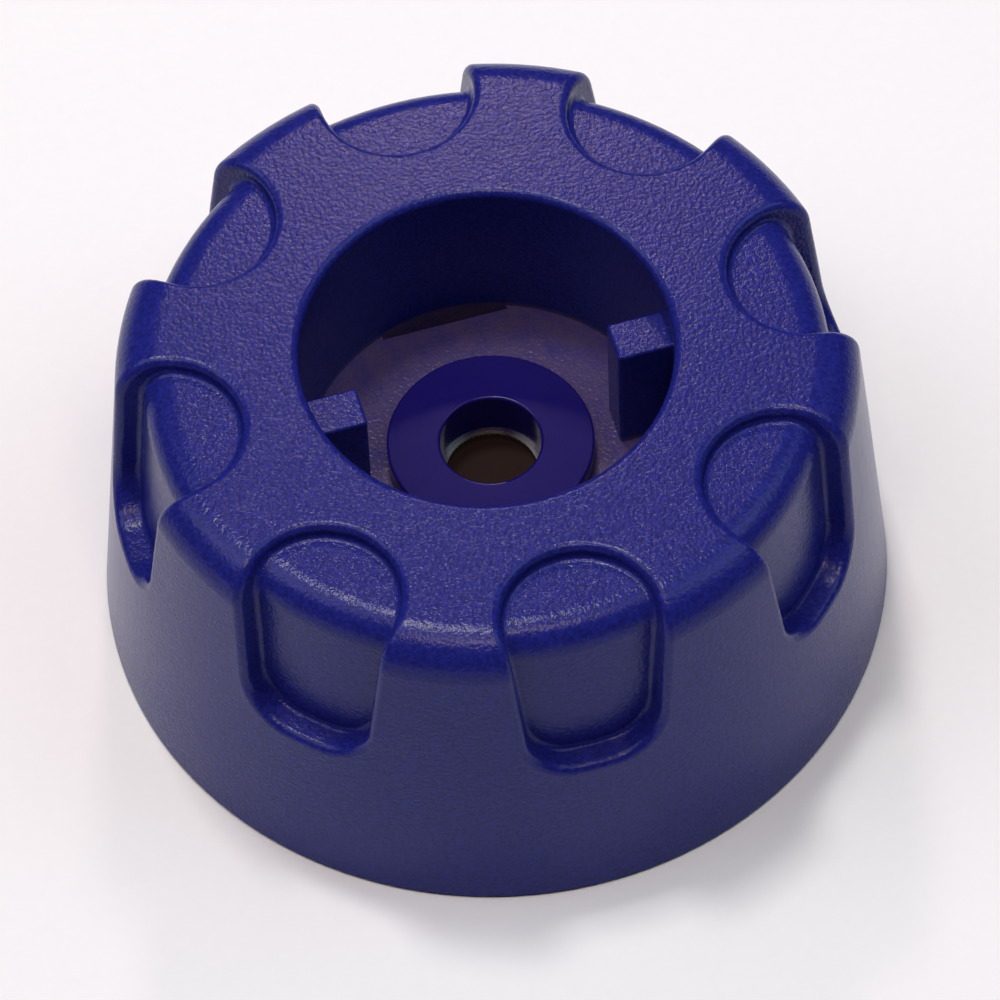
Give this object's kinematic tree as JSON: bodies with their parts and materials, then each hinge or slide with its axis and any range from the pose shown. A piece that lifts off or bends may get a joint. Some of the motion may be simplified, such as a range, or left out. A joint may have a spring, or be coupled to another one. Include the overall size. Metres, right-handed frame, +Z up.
{
  "type": "pipette filler grip cap",
  "caption": "Round finger-grip nose cap of a pipette filler with a keyed socket, a check valve, a membrane filter and a quarter-turn bayonet base ring.",
  "frame": {"origin": "centre of the round foot, on the surface that the part stands on", "axes": "+Z up along the turning axis, from the foot to the top face; +X through one of the socket's two keys and the middle of a finger recess"},
  "size_m": [0.044, 0.044, 0.0215],
  "materials": {
    "abs_textured": "spark-eroded moulded texture",
    "abs_smooth": "smooth moulded satin",
    "acetal_blue": "smooth turned or moulded",
    "acetal_white": "smooth",
    "pp_natural": "milky, moulded",
    "pp_grey": "smooth moulded",
    "ptfe_membrane": "fine woven-looking white",
    "rubber_brown": "smooth moulded fluoroelastomer",
    "rubber_black": "smooth moulded",
    "silicone_clear": "translucent",
    "steel_polished": "turned, polished",
    "steel_wire": "drawn or stamped stainless"
  },
  "bodies": {
    "base": {"base_ring": "abs_smooth", "face_seal": "rubber_black", "glide_ring": "acetal_white"},
    "cap": {"grip_cap": "abs_textured", "guide_bush": "acetal_blue", "bush_seal": "rubber_black", "seat_ring": "steel_polished", "valve_cage": "pp_natural", "valve_spring": "steel_wire", "spacer_ring": "pp_natural", "filter_gasket": "silicone_clear", "filter_membrane": "ptfe_membrane", "filter_screen": "pp_natural", "chamber_cover": "pp_grey", "cover_seal": "rubber_black", "port_seal": "rubber_black", "cover_circlip": "steel_wire"},
    "valve": {"valve_disc": "rubber_brown"}
  },
  "joints": [
    {"name": "cap_turn", "type": "hinge", "parent": "base", "child": "cap", "pos_m": [0, 0, 0], "axis": [0, 0, 1], "range_deg": [0, 60]},
    {"name": "valve_lift", "type": "slide", "parent": "cap", "child": "valve", "axis": [0, 0, -1], "range_m": [0, 0.001], "stiffness_N_per_m": 30, "springref_m": -0.002, "deforming": ["valve_spring"]}
  ]
}
